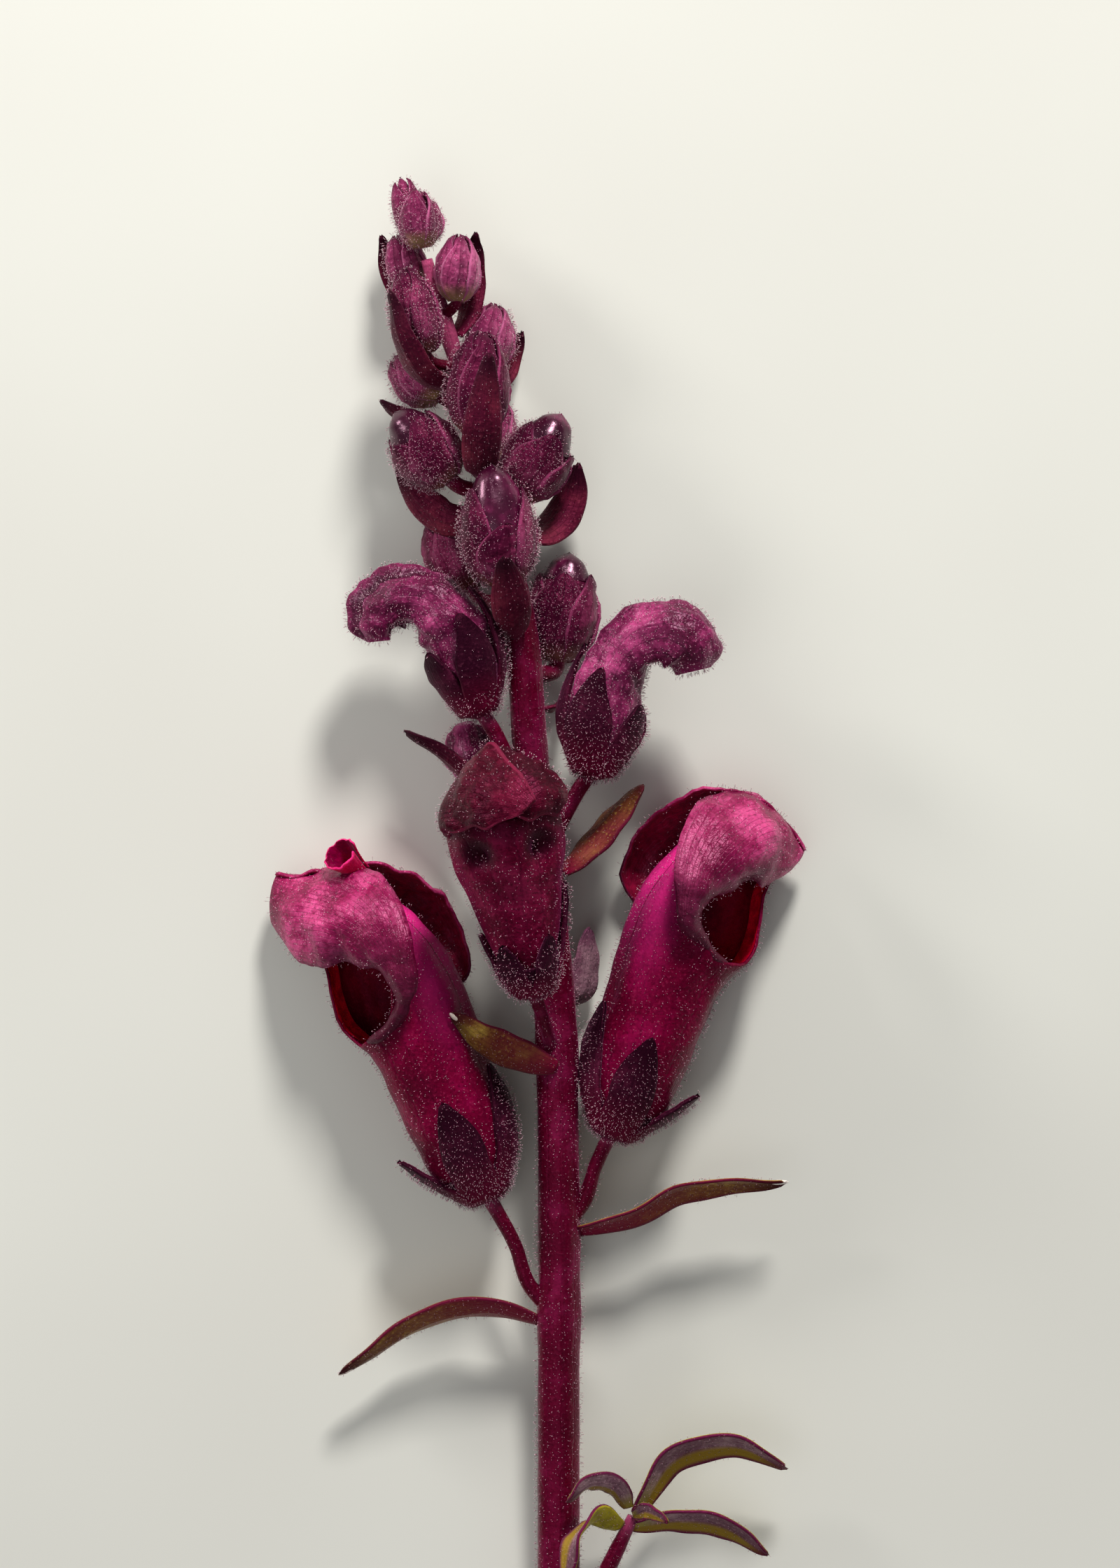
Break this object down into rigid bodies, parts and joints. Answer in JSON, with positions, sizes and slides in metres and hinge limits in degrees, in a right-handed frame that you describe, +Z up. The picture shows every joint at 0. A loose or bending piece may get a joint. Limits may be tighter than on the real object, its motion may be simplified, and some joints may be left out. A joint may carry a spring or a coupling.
{
  "type": "snapdragon stem",
  "caption": "Cut snapdragon stem lying down, with open two-lipped flowers, hooked young flowers, wrapped buds, folded bracts and a leafy side shoot.",
  "frame": {"origin": "on the surface the stem lies on, below the middle of its outline as seen from above", "axes": "+Y along the stem towards its growing tip, +X to the right with the tip away, +Z up"},
  "size_m": [0.0657, 0.1834, 0.0308],
  "materials": {
    "stem": "satin, finely hairy",
    "petal": "velvety",
    "sepal": "matte, hairy",
    "bud": "matte, hairy",
    "bract": "satin",
    "leaf": "satin",
    "anther": "matte"
  },
  "bodies": {
    "root": {"stem": "stem", "corolla_left": "petal", "calyx_left": "sepal", "stamens_left": "anther", "pistil_left": "anther", "corolla_right": "petal", "calyx_right": "sepal", "stamens_right": "anther", "pistil_right": "anther", "corolla_front": "petal", "calyx_front": "sepal", "stamens_front": "anther", "pistil_front": "anther", "hook_left": "petal", "calyx_hook_left": "sepal", "hook_right": "petal", "calyx_hook_right": "sepal", "hook_rear": "petal", "calyx_hook_rear": "sepal", "bud_01": "bud", "bud_02": "bud", "bud_03": "bud", "bud_04": "bud", "bud_05": "bud", "bud_06": "bud", "bud_07": "bud", "bud_08": "bud", "bud_09": "bud", "bud_10": "bud", "bud_11": "bud", "bud_12": "bud", "petals_bud_07": "petal", "petals_bud_08": "petal", "petals_bud_10": "petal", "petals_bud_12": "petal", "growing_tip": "bud", "bract_left": "bract", "bract_right": "bract", "bract_front": "bract", "bract_rear": "bract", "bract_hook_left": "bract", "bract_hook_right": "bract", "bract_bud_01": "bract", "bract_bud_02": "bract", "bract_bud_03": "bract", "bract_bud_04": "bract", "bract_bud_05": "bract", "bract_bud_06": "bract", "bract_bud_07": "bract", "bract_bud_08": "bract", "bract_bud_09": "bract", "bract_bud_10": "bract", "bract_bud_11": "bract", "bract_bud_12": "bract", "leaf_upper_right": "leaf", "leaf_upper_left": "leaf", "leaf_centre": "leaf", "leaf_lower_right": "leaf", "leaf_lower_left": "leaf"}
  },
  "joints": []
}
